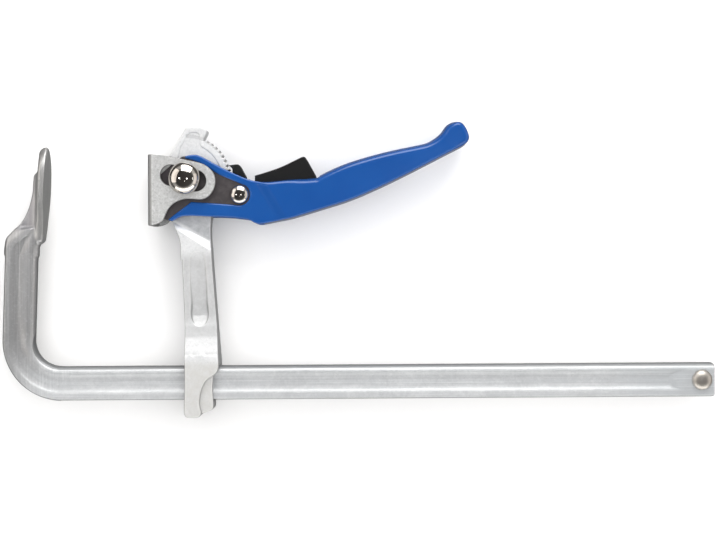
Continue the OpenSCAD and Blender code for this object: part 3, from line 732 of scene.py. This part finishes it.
# ---------------------------------------------------------------------------
# Materials
# ---------------------------------------------------------------------------
class Mat:
    """A small helper over a material's node tree. Positions come from the object's own space, in metres."""

    def __init__(self, name):
        self.m = bpy.data.materials.new(name)
        self.m.use_nodes = True
        self.t = self.m.node_tree
        self.b = self.t.nodes["Principled BSDF"]
        self.o = self.t.nodes.new("ShaderNodeTexCoord").outputs["Object"]

    def new(self, kind, **vals):
        n = self.t.nodes.new(kind)
        for k, v in vals.items():
            setattr(n, k, v)
        return n

    def link(self, a, b):
        self.t.links.new(a, b)

    def noise(self, scale, detail=3.0, rough=0.55, dist=0.0, stretch=None):
        n = self.new("ShaderNodeTexNoise")
        n.inputs["Scale"].default_value = scale
        n.inputs["Detail"].default_value = detail
        n.inputs["Roughness"].default_value = rough
        n.inputs["Distortion"].default_value = dist
        if stretch:
            mp = self.new("ShaderNodeMapping")
            mp.inputs["Scale"].default_value = stretch[:3]
            if len(stretch) > 3:
                mp.inputs["Rotation"].default_value = (0, 0, math.radians(stretch[3]))
            self.link(self.o, mp.inputs["Vector"])
            self.link(mp.outputs["Vector"], n.inputs["Vector"])
        else:
            self.link(self.o, n.inputs["Vector"])
        return n.outputs["Fac"]

    def attr(self, name):
        return self.new("ShaderNodeAttribute", attribute_name=name).outputs["Fac"]

    def remap(self, src, a, b, lo=0.0, hi=1.0, smooth=False):
        n = self.new("ShaderNodeMapRange")
        if smooth:
            n.interpolation_type = "SMOOTHSTEP"
        for k, v in zip(("From Min", "From Max", "To Min", "To Max"), (a, b, lo, hi)):
            n.inputs[k].default_value = v
        self.link(src, n.inputs["Value"])
        return n.outputs["Result"]

    def math(self, op, a, b=None):
        n = self.new("ShaderNodeMath", operation=op)
        for i, v in enumerate((a, b)):
            if v is None:
                continue
            if isinstance(v, (int, float)):
                n.inputs[i].default_value = v
            else:
                self.link(v, n.inputs[i])
        return n.outputs[0]

    def mix(self, fac, a, b, kind="MIX"):
        n = self.new("ShaderNodeMix", data_type="RGBA", blend_type=kind)
        for sock, v in ((n.inputs[0], fac), (n.inputs[6], a), (n.inputs[7], b)):
            if isinstance(v, (int, float)):
                sock.default_value = v
            elif isinstance(v, tuple):
                sock.default_value = (*v, 1.0)
            else:
                self.link(v, sock)
        return n.outputs[2]

    def bump(self, *heights):
        """heights are (source, distance in metres, strength)."""
        last = None
        for src, dist, strength in heights:
            n = self.new("ShaderNodeBump")
            n.inputs["Distance"].default_value = dist
            n.inputs["Strength"].default_value = strength
            self.link(src, n.inputs["Height"])
            if last is not None:
                self.link(last, n.inputs["Normal"])
            last = n.outputs["Normal"]
        self.link(last, self.b.inputs["Normal"])

    def put(self, name, v):
        s = self.b.inputs[name]
        if isinstance(v, (int, float)):
            s.default_value = v
        elif isinstance(v, tuple):
            s.default_value = (*v, 1.0)
        else:
            self.link(v, s)


def steel(name, base, dark, light, r0, r1, brush=None, forged=1.0, edge=0.25, hollow_dirt_and_shade=0.5, has_attr=True, metal=1.0, forged_end_and_shade=None, side=None, speck=0.0, streak=0.0, zones=()):
    m = Mat(name)
    big = m.noise(38, 3, 0.5)
    mid = m.noise(210, 4, 0.6, 0.6)
    fine = m.noise(1500, 3, 0.6)
    c = m.mix(m.remap(big, 0.32, 0.68), dark, base)
    c = m.mix(m.remap(mid, 0.45, 0.75, 0, 0.55), c, light)
    c = m.mix(m.remap(fine, 0.35, 0.7, 0.0, 0.14), c, dark)
    if forged_end_and_shade:
        # the forged end of the bar is darker and less dull than the drawn bar: partly its forged finish, partly painted
        # shade over the fixed arm and jaw; the rib's web gets a little less of it
        sep = m.new("ShaderNodeSeparateXYZ")
        m.link(m.o, sep.inputs[0])
        along = m.math("SUBTRACT", sep.outputs["Y"], sep.outputs["X"])
        f = m.remap(m.math("ADD", along, m.remap(big, 0.3, 0.7, -0.008, 0.008)), -0.142, -0.080, 0, 1, smooth=True)
        web = m.math("MULTIPLY", m.remap(sep.outputs["X"], -0.0085, -0.0055, 1, 0, smooth=True), m.remap(sep.outputs["Y"], -0.040, -0.028, smooth=True))
        f = m.math("MULTIPLY", f, m.remap(web, 0, 1, 1.0, 0.8))
        c = m.mix(m.math("MULTIPLY", f, forged_end_and_shade[0]), c, forged_end_and_shade[1])
        m.put("Metallic", m.remap(f, 0, 1, metal, forged_end_and_shade[2]))
    else:
        m.put("Metallic", metal)
    if speck:
        c = m.mix(m.remap(m.noise(620, 3, 0.65), 0.50, 0.66, 0, speck), c, tuple(v * 0.72 for v in dark))
        c = m.mix(m.remap(m.noise(540, 3, 0.65, 0.3), 0.52, 0.68, 0, speck), c, tuple(min(v * 1.12, 0.95) for v in light))
    for (deg, x0, x1, y0, y1, soft), amount, tint in zones:
        # a patch of the forging coloured darker or lighter, given in the object's own coordinates turned by deg; the
        # patch across the sliding arm's neck is a painted shadow of the handle
        mp = m.new("ShaderNodeMapping")
        mp.inputs["Rotation"].default_value = (0, 0, math.radians(-deg))
        m.link(m.o, mp.inputs["Vector"])
        sep = m.new("ShaderNodeSeparateXYZ")
        m.link(mp.outputs["Vector"], sep.inputs[0])
        px = m.math("ADD", sep.outputs["X"], m.remap(mid, 0.3, 0.7, -0.4 * soft, 0.4 * soft))
        py = m.math("ADD", sep.outputs["Y"], m.remap(big, 0.3, 0.7, -0.4 * soft, 0.4 * soft))
        f = m.math("MULTIPLY", m.remap(px, x0 - soft, x0 + soft, smooth=True), m.remap(px, x1 - soft, x1 + soft, 1, 0, smooth=True))
        f = m.math("MULTIPLY", f, m.math("MULTIPLY", m.remap(py, y0 - soft, y0 + soft, smooth=True), m.remap(py, y1 - soft, y1 + soft, 1, 0, smooth=True)))
        c = m.mix(m.math("MULTIPLY", f, m.remap(mid, 0.35, 0.65, 0.6 * amount, amount)), c, tint)
    rough = m.math("ADD", m.remap(mid, 0.3, 0.7, r0, r1), m.remap(fine, 0.3, 0.7, -0.035, 0.035))
    if streak:
        # fine drawing lines along the bar, and along the fixed arm where the bar is bent up
        sep = m.new("ShaderNodeSeparateXYZ")
        m.link(m.o, sep.inputs[0])
        up = m.remap(m.math("SUBTRACT", sep.outputs["Y"], sep.outputs["X"]), -0.150, -0.140, smooth=True)
        lines = m.mix(up, m.noise(1.0, 4, 0.7, 0.0, (9, 1100, 260)), m.noise(1.0, 4, 0.7, 0.0, (1100, 9, 260)))
        c = m.mix(m.remap(lines, 0.5, 0.68, 0, streak), c, tuple(v * 0.8 for v in dark))
        c = m.mix(m.remap(lines, 0.48, 0.32, 0, streak), c, tuple(min(v * 1.1, 0.95) for v in light))
    if has_attr:
        wear = m.math("MULTIPLY", m.remap(m.attr("convex"), 0.12, 0.75, 0, edge), m.remap(mid, 0.3, 0.65, 0.3, 1.0))
        c = m.mix(wear, c, light)
        # darker in hollows: dirt and painted shade
        dirt_and_shade = m.math("MULTIPLY", m.remap(m.attr("hollow"), 0.08, 0.7, 0, hollow_dirt_and_shade), m.remap(mid, 0.25, 0.7, 1.0, 0.6))
        c = m.mix(dirt_and_shade, c, tuple(v * 0.42 for v in dark))
        rough = m.math("ADD", rough, m.math("MULTIPLY", m.attr("hollow"), 0.12))
    if side:
        # painted shade: steep faces darkened towards the dark tone, standing in for the dark reflections along flanks
        # and edges
        c = m.mix(m.remap(m.attr("side"), side[0], side[1], 0, side[2], smooth=True), c, tuple(v * 0.4 for v in dark))
    m.put("Base Color", c)
    m.put("Roughness", rough)
    h = [(m.noise(90, 2, 0.5), 0.0011 * forged, 0.35), (mid, 0.00016 * forged, 0.4), (fine, 0.00004, 0.45)]
    if brush:
        h.append((m.noise(1.0, 3, 0.6, 0.0, brush), 0.00003, 0.5))
    m.bump(*h)
    return m.m


def make_materials():
    mats = {}
    mats["bar"] = steel("zinc_bar", (0.60, 0.615, 0.63), (0.53, 0.545, 0.56), (0.70, 0.71, 0.72), 0.36, 0.44, forged=0.5, metal=0.45,
                        forged_end_and_shade=(0.88, (0.385, 0.385, 0.39), 0.78), side=(0.13, 0.2, 0.9), speck=0.22, streak=0.4,
                        zones=(((0, 0.405, 0.6, -0.16, -0.11, 0.018), 0.75, (0.46, 0.485, 0.505)),
                               ((0, -0.0095, 0.02, -0.034, 0.05, 0.003), 0.7, (0.56, 0.56, 0.545)),
                               ((0, -0.0215, -0.0075, -0.029, 0.006, 0.002), 0.6, (0.27, 0.26, 0.29))))
    mats["zinc"] = steel("zinc_forging", (0.79, 0.80, 0.81), (0.72, 0.73, 0.74), (0.85, 0.855, 0.86), 0.38, 0.46, forged=0.8, metal=0.42, hollow_dirt_and_shade=0.22, side=(0.25, 0.5, 0.8), speck=0.3,
                         # the first patch is a painted shadow of the handle across the scooped neck
                         zones=(((-30.1, -0.1, 0.3, 0.0259, 0.0420, 0.0016), 0.9, (0.36, 0.37, 0.39)),
                                ((0, -0.02, 0.2, -0.0925, -0.0455, 0.006), 0.9, (0.50, 0.505, 0.51)),
                                ((0, -0.02, 0.2, -0.1035, -0.0955, 0.0018), 0.75, (0.50, 0.505, 0.51)),
                                ((0, -0.02, 0.2, -0.2, -0.121, 0.003), 0.9, (0.61, 0.605, 0.585))))
    mats["sheet"] = steel("zinc_sheet", (0.59, 0.595, 0.59), (0.50, 0.505, 0.505), (0.70, 0.705, 0.71), 0.36, 0.46, forged=0.25, metal=0.5, side=(0.045, 0.085, 0.75), speck=0.6)
    mats["dark"] = steel("phosphated_steel", (0.072, 0.063, 0.068), (0.056, 0.050, 0.053), (0.11, 0.10, 0.10), 0.42, 0.5, forged=0.3, edge=0.5, hollow_dirt_and_shade=0.4, metal=0.4)
    mats["black_steel"] = steel("blackened_steel", (0.009, 0.010, 0.011), (0.006, 0.007, 0.007), (0.04, 0.04, 0.04), 0.40, 0.5, forged=0.3, edge=0.6, hollow_dirt_and_shade=0.4, metal=0.3)
    mats["inner"] = steel("ground_steel", (0.42, 0.42, 0.43), (0.32, 0.32, 0.33), (0.55, 0.55, 0.56), 0.26, 0.36, forged=0.15, has_attr=False)
    mats["spring"] = steel("spring_wire", (0.30, 0.30, 0.31), (0.2, 0.2, 0.21), (0.42, 0.42, 0.43), 0.22, 0.32, forged=0.1, has_attr=False)

    for key, name, r0, r1 in (("nickel", "polished_nickel", 0.05, 0.1), ("dull_nickel", "brushed_nickel", 0.42, 0.5)):
        m = Mat(name)
        big, fine = m.noise(160, 3, 0.5), m.noise(1700, 4, 0.6)
        c = m.mix(m.remap(big, 0.35, 0.65), (0.62, 0.585, 0.54), (0.70, 0.67, 0.63))
        c = m.mix(m.remap(fine, 0.55, 0.8, 0, 0.25), c, (0.45, 0.42, 0.38))
        m.put("Base Color", c)
        m.put("Metallic", 1.0)
        m.put("Roughness", m.math("ADD", m.remap(big, 0.3, 0.7, r0, r1), m.remap(fine, 0.3, 0.7, -0.015, 0.02)))
        m.bump((m.noise(240, 2, 0.5), 0.0002, 0.12), (fine, 0.00002, 0.2))
        mats[key] = m.m

    m = Mat("blue_nylon")
    big, fine, mid = m.noise(26, 2, 0.5), m.noise(1900, 3, 0.6), m.noise(320, 3, 0.5)
    c = m.mix(m.remap(big, 0.3, 0.7), (0.0022, 0.060, 0.262), (0.0038, 0.070, 0.290))
    c = m.mix(m.remap(fine, 0.35, 0.75, 0, 0.2), c, (0.002, 0.050, 0.225))
    c = m.mix(m.math("MULTIPLY", m.remap(m.attr("convex"), 0.1, 0.7, 0, 0.22), m.remap(mid, 0.3, 0.7, 0.2, 1.0)), c, (0.045, 0.19, 0.52))
    # darker in hollows: dirt and painted shade
    c = m.mix(m.remap(m.attr("hollow"), 0.1, 0.8, 0, 0.5), c, (0.004, 0.035, 0.16))
    m.put("Base Color", c)
    m.put("Roughness", m.math("ADD", m.remap(mid, 0.3, 0.7, 0.19, 0.24), m.remap(fine, 0.3, 0.7, -0.02, 0.03)))
    m.put("IOR", 1.5)
    m.put("Specular IOR Level", 0.42)
    m.put("Coat Weight", 0.5)
    m.put("Coat Roughness", 0.12)
    m.bump((m.noise(60, 2, 0.5), 0.0009, 0.08), (mid, 0.00006, 0.12), (fine, 0.00002, 0.25))
    mats["blue"] = m.m

    m = Mat("black_nylon")
    fine, mid = m.noise(2300, 3, 0.7), m.noise(260, 3, 0.5)
    c = m.mix(m.remap(fine, 0.35, 0.7), (0.004, 0.004, 0.0043), (0.009, 0.009, 0.0096))
    c = m.mix(m.remap(m.attr("convex"), 0.1, 0.7, 0, 0.4), c, (0.05, 0.05, 0.052))
    m.put("Base Color", c)
    m.put("Specular IOR Level", 0.3)
    m.put("Roughness", m.math("ADD", m.remap(mid, 0.3, 0.7, 0.46, 0.56), m.remap(fine, 0.3, 0.7, -0.05, 0.06)))
    m.bump((fine, 0.00012, 0.6), (mid, 0.0001, 0.3))
    mats["black"] = m.m

    m = Mat("floor_board")
    big, fine = m.noise(4, 3, 0.5), m.noise(350, 2, 0.5)
    c = m.mix(m.remap(big, 0.3, 0.7), (0.90, 0.90, 0.905), (0.925, 0.925, 0.925))
    c = m.mix(m.remap(fine, 0.3, 0.7, 0, 0.15), c, (0.88, 0.88, 0.885))
    m.put("Base Color", c)
    m.put("Roughness", m.remap(fine, 0.3, 0.7, 0.75, 0.9))
    m.bump((fine, 0.00005, 0.2))
    mats["floor"] = m.m
    return mats


def paint(ob, mat):
    ob.data.materials.clear()
    ob.data.materials.append(mat)


def paint_node(name, mat):
    ob = NODES[name]
    if not ob.material_slots:
        ob.data.materials.append(mat)
    for s in ob.material_slots:
        s.material = mat


# ---------------------------------------------------------------------------
# Camera, floor and light
# ---------------------------------------------------------------------------
def make_stage(mats):
    cam = bpy.data.cameras.new("view")
    cam.sensor_width = 36.0
    cam.lens = 36.0 * 942.0 / (716 * 0.70)
    cam.clip_start, cam.clip_end = 0.05, 20
    ob = bpy.data.objects.new("view", cam)
    bpy.context.scene.collection.objects.link(ob)
    a = math.radians(-0.37)
    X, Y = 217.6, -56.0
    ob.location = ((X * math.cos(a) - Y * math.sin(a)) * M, (X * math.sin(a) + Y * math.cos(a)) * M, 0.942)
    ob.rotation_euler = (0, 0, a)
    bpy.context.scene.camera = ob

    n, size = 24, 3.2
    co, faces = [], []
    for i in range(n + 1):
        for j in range(n + 1):
            x, y = (i / n - .5) * 2 * size, (j / n - .5) * 2 * size
            lift = max(0.0, math.hypot(x, y) - 2.2)
            co.append((217 + x * 1000, -60 + y * 1000, FLOOR_Z * 1000 + 140 * lift * lift))
    for i in range(n):
        for j in range(n):
            k = i * (n + 1) + j
            faces.append((k, k + n + 1, k + n + 2, k + 1))
    floor = make_mesh("floor_board", co, faces)
    paint(floor, mats["floor"])

    mid = Vector((0.20, -0.05, 0.0))

    def area(name, off, azimuth, dist, w, h, radiance, colour=(1, 1, 1), diffuse=True, glossy=True):
        """A soft light at an angle off the zenith, on an azimuth from +X, facing the clamp."""
        a, b = math.radians(off), math.radians(azimuth)
        d = Vector((math.sin(a) * math.cos(b), math.sin(a) * math.sin(b), math.cos(a)))
        L = bpy.data.lights.new(name, "AREA")
        L.shape, L.size, L.size_y, L.color = "RECTANGLE", w, h, colour
        L.energy = radiance * math.pi * w * h
        o = bpy.data.objects.new(name, L)
        bpy.context.scene.collection.objects.link(o)
        o.location = mid + d * dist
        o.rotation_euler = d.to_track_quat("Z", "Y").to_euler()
        o.visible_camera, o.visible_diffuse, o.visible_glossy = False, diffuse, glossy
        return o
    area("overhead_sheet", 0, 90, 1.7, 4.4, 3.6, 1.47, glossy=False)
    area("window", 66, 82, 1.4, 1.35, 1.3, 3.5, (1.0, 0.985, 0.965))
    area("low_reflector", 84, -90, 1.5, 3.6, 1.1, 1.7, (1.0, 0.98, 0.94))
    area("side_left", 64, 163, 1.4, 1.7, 0.95, 1.15, (1.0, 0.93, 0.87), diffuse=False)
    area("side_right", 74, 0, 1.5, 1.6, 0.9, 0.45, (1.0, 0.9, 0.83))
    area("strip_right", 47, 0, 1.4, 0.34, 0.05, 4.0, diffuse=False)
    area("lamp_left", 29, 176, 1.35, 0.14, 0.10, 12.0, diffuse=False)
    area("lamp_right", 10, 0, 1.35, 0.09, 0.12, 12.0, diffuse=False)
    area("lamp_near", 13, -100, 1.35, 0.06, 0.05, 5.0, diffuse=False)
    floor.visible_glossy = False

    w = bpy.data.worlds.new("studio")
    bpy.context.scene.world = w
    w.use_nodes = True
    t = w.node_tree
    bg = t.nodes["Background"]
    tc = t.nodes.new("ShaderNodeTexCoord")
    sep = t.nodes.new("ShaderNodeSeparateXYZ")
    t.links.new(tc.outputs["Generated"], sep.inputs[0])
    mr = t.nodes.new("ShaderNodeMapRange")
    for k, v in (("From Min", -1.0), ("From Max", 1.0), ("To Min", 0.0), ("To Max", 1.0)):
        mr.inputs[k].default_value = v
    t.links.new(sep.outputs["Z"], mr.inputs["Value"])
    ramp_n = t.nodes.new("ShaderNodeValToRGB")
    t.links.new(mr.outputs["Result"], ramp_n.inputs[0])
    el = ramp_n.color_ramp.elements
    el[0].position, el[0].color = 0.0, (0.26, 0.26, 0.255, 1)
    el[1].position, el[1].color = 1.0, (0.06, 0.055, 0.053, 1)
    for z, v in ((-0.5, 0.14), (-0.02, 0.12), (0.06, 0.25), (0.2, 0.64), (0.48, 0.66), (0.57, 0.17), (0.68, 0.07)):
        e = el.new((z + 1) / 2)
        e.color = (v, v * 0.985, v * 0.96, 1)
    side = t.nodes.new("ShaderNodeMapRange")
    for k, v in (("From Min", -0.75), ("From Max", 0.1), ("To Min", 0.6), ("To Max", 1.0)):
        side.inputs[k].default_value = v
    t.links.new(sep.outputs["X"], side.inputs["Value"])
    t.links.new(ramp_n.outputs["Color"], bg.inputs["Color"])
    t.links.new(side.outputs["Result"], bg.inputs["Strength"])


# ---------------------------------------------------------------------------
# Putting it together
# ---------------------------------------------------------------------------
mats = make_materials()
make_stage(mats)

made = {}


def take(ob, body, nodes, mat):
    paint(ob, mats[mat])
    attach(ob, body)
    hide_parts(*nodes)
    made[ob.name] = ob
    return ob


take(build_bar(), "bar", ["clamp_bar"], "bar")
take(build_arm(), "arm", ["sliding_arm"], "zinc")
take(build_plate(), "plate", ["pressure_plate"], "sheet")
take(build_cheek("cheek_plate_front", 8, 11), "lever", ["lever_cheek_front"], "dark")
take(build_cheek("cheek_plate_rear", -11, -8), "lever", ["lever_cheek_rear"], "dark")
take(build_grip(), "lever", ["lever_handle"], "blue")
take(build_trigger(), "pawl", ["release_trigger"], "black")
take(build_pawl(), "pawl", ["ratchet_pawl"], "black_steel")


def dome(r, z, h, flat=0.0, n=20):
    """A domed head's side, from the rim to the crown: elliptical, with a slightly flattened top."""
    out = []
    for i in range(n + 1):
        a = math.pi / 2 * i / n
        out.append((max(r * math.cos(a) ** (1 - 0.12 * flat), 0.0) if i < n else 0.0, z + h * math.sin(a)))
    return out


# pivot rivet: polished dome in front, formed head behind
zf = 16.1
prof = [(0, -21.7), (3.5, -21.65), (5.5, -21.5), (7.2, -21.0), (8.6, -20.3), (9.6, -19.3), (10.2, -18.5), (10.55, -17.4), (10.6, -16.9), (10.6, -16.35), (10.35, -zf), (5, -zf), (5, zf), (10.9, zf), (11.2, zf + 0.3), (11.2, zf + 0.55)]
prof += dome(11.2, zf + 0.6, 8.4, 0.0, 26)
take(lathe("pivot_rivet_turned", prof, PV, 128), "arm", ["pivot_rivet"], "nickel")
zq = 11.02
prof = [(0, -14.4), (2, -14.37), (3.2, -14.22), (4.3, -13.8), (5.2, -13.2), (5.8, -12.3), (6, -11.7), (6, -11.2), (5.8, -zq), (3, -zq), (3, zq), (6.4, zq), (6.6, zq + 0.2), (6.6, zq + 0.38)]
prof += dome(6.6, zq + 0.4, 4.4, 0.0, 20)
take(lathe("pawl_rivet_turned", prof, QV, 96), "lever", ["pawl_rivet"], "nickel")
prof = [(0, -9.2), (2.2, -9.17), (4.2, -8.95), (5.3, -8.55), (6.1, -7.9), (6.5, -7.1), (6.6, -6.6), (6.5, -6.02), (5.4, -6.02), (5.4, -4.22), (4, -4.22), (4, 4.22), (5.4, 4.22), (5.4, 6.02), (6.8, 6.02), (7.0, 6.15)]
prof += dome(7.0, 6.2, 4.42, 0.0, 20)
take(lathe("end_rivet_turned", prof, RIVET, 96), "bar", ["end_stop_rivet"], "dull_nickel")

for n in ("pivot_sleeve", "pivot_washers", "cheek_spacers", "pawl_bush", "trigger_pin"):
    paint_node(n, mats["inner"])
paint_node("pawl_spring", mats["spring"])

bpy.context.scene.view_settings.view_transform = "Standard"
bpy.context.scene.view_settings.look = "None"
